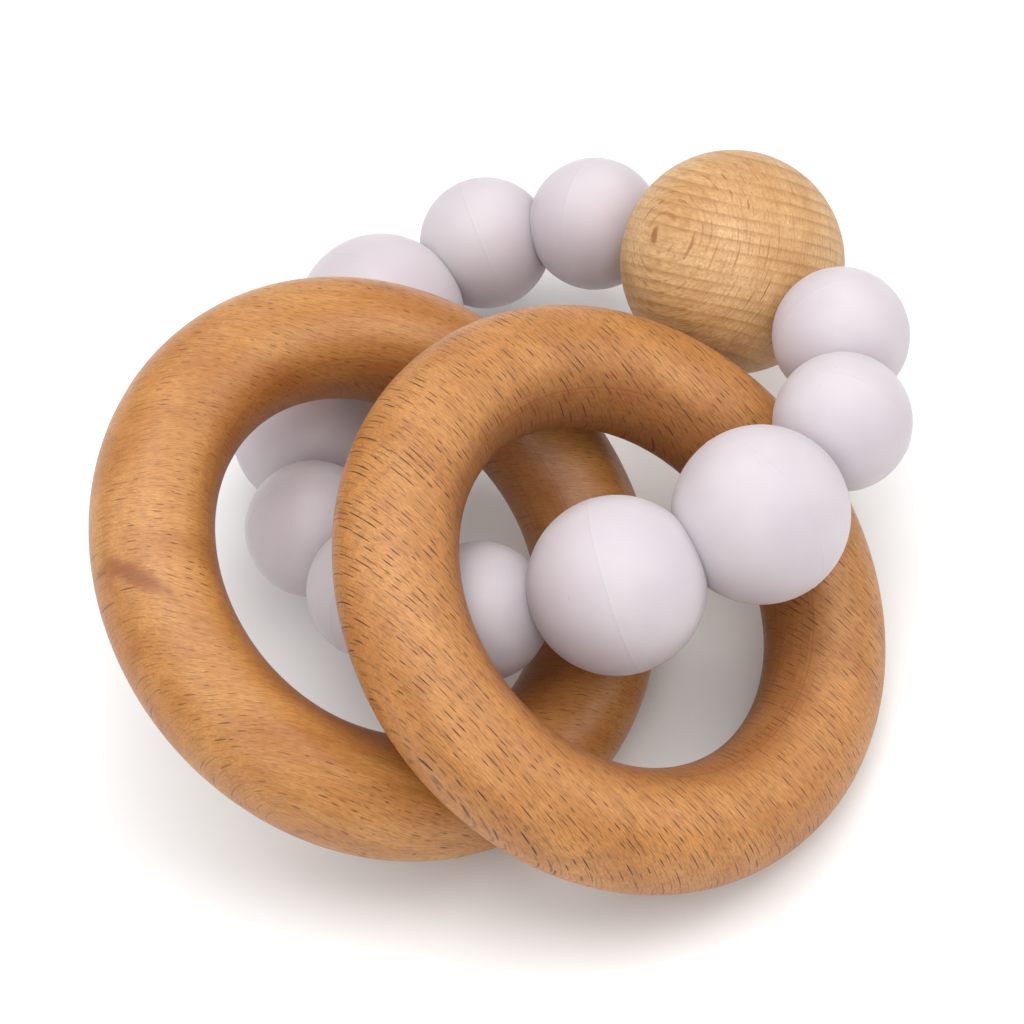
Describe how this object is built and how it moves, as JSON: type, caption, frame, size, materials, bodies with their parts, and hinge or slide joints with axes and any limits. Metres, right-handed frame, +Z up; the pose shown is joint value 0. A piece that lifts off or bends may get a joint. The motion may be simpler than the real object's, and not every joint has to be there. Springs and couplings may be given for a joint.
{
  "type": "baby rattle",
  "caption": "Baby rattle and teether: turned beech rings hang on a closed loop of soft round beads and a wooden bead, and knock together.",
  "frame": {"origin": "middle of the footprint at table level, with the rattle lying at rest", "axes": "+Z up from the table, +Y from the rings towards the wooden bead's end of the loop, +X towards the side where the rings lean down"},
  "size_m": [0.0872, 0.0963, 0.0413],
  "materials": {
    "oiled_beech": "oiled, fine open grain",
    "pale_beech": "bare, fine sanded",
    "silicone": "matte food-grade silicone, pale lilac",
    "cord": "waxed polyester cord"
  },
  "bodies": {
    "strand": {"cord": "cord"},
    "back_ring": {"back_ring": "oiled_beech"},
    "front_ring": {"front_ring": "oiled_beech"},
    "wood_bead": {"wood_bead": "pale_beech"},
    "small_bead_1": {"small_bead_1": "silicone"},
    "small_bead_2": {"small_bead_2": "silicone"},
    "large_bead_1": {"large_bead_1": "silicone"},
    "large_bead_2": {"large_bead_2": "silicone"},
    "small_bead_3": {"small_bead_3": "silicone"},
    "small_bead_4": {"small_bead_4": "silicone"},
    "small_bead_5": {"small_bead_5": "silicone"},
    "large_bead_3": {"large_bead_3": "silicone"},
    "large_bead_4": {"large_bead_4": "silicone"},
    "small_bead_6": {"small_bead_6": "silicone"},
    "small_bead_7": {"small_bead_7": "silicone"}
  },
  "joints": [
    {"name": "back_ring_turn", "type": "hinge", "parent": "strand", "child": "back_ring", "pos_m": [-0.0139, -0.0108, 0.0199], "axis": [0.4705, -0.2095, 0.8572], "continuous": true},
    {"name": "front_ring_lift", "type": "hinge", "parent": "strand", "child": "front_ring", "pos_m": [0.02759, 0.00373, 0.01535], "axis": [-0.5917, 0.6284, 0.505], "range_deg": [0, 85]},
    {"name": "spin_wood_bead", "type": "hinge", "parent": "strand", "child": "wood_bead", "pos_m": [0.02485, 0.0296, 0.02055], "axis": [0.7383, -0.6238, 0.2566], "continuous": true},
    {"name": "spin_small_bead_1", "type": "hinge", "parent": "strand", "child": "small_bead_1", "pos_m": [0.03625, 0.01505, 0.02525], "axis": [0.2884, -0.9355, 0.204], "continuous": true},
    {"name": "spin_small_bead_2", "type": "hinge", "parent": "strand", "child": "small_bead_2", "pos_m": [0.03585, 0.0018, 0.02705], "axis": [-0.3476, -0.9363, 0.0497], "continuous": true},
    {"name": "spin_large_bead_1", "type": "hinge", "parent": "strand", "child": "large_bead_1", "pos_m": [0.02675, -0.01085, 0.02765], "axis": [-0.7394, -0.6727, 0.0278], "continuous": true},
    {"name": "spin_large_bead_2", "type": "hinge", "parent": "strand", "child": "large_bead_2", "pos_m": [0.01145, -0.01825, 0.0256], "axis": [-0.9556, -0.1491, -0.2541], "continuous": true},
    {"name": "spin_small_bead_3", "type": "hinge", "parent": "strand", "child": "small_bead_3", "pos_m": [-0.0031, -0.0174, 0.0201], "axis": [-0.8353, 0.3115, -0.453], "continuous": true},
    {"name": "spin_small_bead_4", "type": "hinge", "parent": "strand", "child": "small_bead_4", "pos_m": [-0.01445, -0.01095, 0.0154], "axis": [-0.7706, 0.601, -0.2121], "continuous": true},
    {"name": "spin_small_bead_5", "type": "hinge", "parent": "strand", "child": "small_bead_5", "pos_m": [-0.02165, -0.00005, 0.01205], "axis": [-0.2458, 0.9339, -0.2598], "continuous": true},
    {"name": "spin_large_bead_3", "type": "hinge", "parent": "strand", "child": "large_bead_3", "pos_m": [-0.0218, 0.0155, 0.0098], "axis": [0.1768, 0.9833, -0.0442], "continuous": true},
    {"name": "spin_large_bead_4", "type": "hinge", "parent": "strand", "child": "large_bead_4", "pos_m": [-0.0149, 0.03165, 0.0095], "axis": [0.5901, 0.8072, 0.0111], "continuous": true},
    {"name": "spin_small_bead_6", "type": "hinge", "parent": "strand", "child": "small_bead_6", "pos_m": [-0.003, 0.04075, 0.0114], "axis": [0.9313, 0.261, 0.254], "continuous": true},
    {"name": "spin_small_bead_7", "type": "hinge", "parent": "strand", "child": "small_bead_7", "pos_m": [0.00955, 0.04005, 0.01525], "axis": [0.8763, -0.3755, 0.3019], "continuous": true}
  ]
}
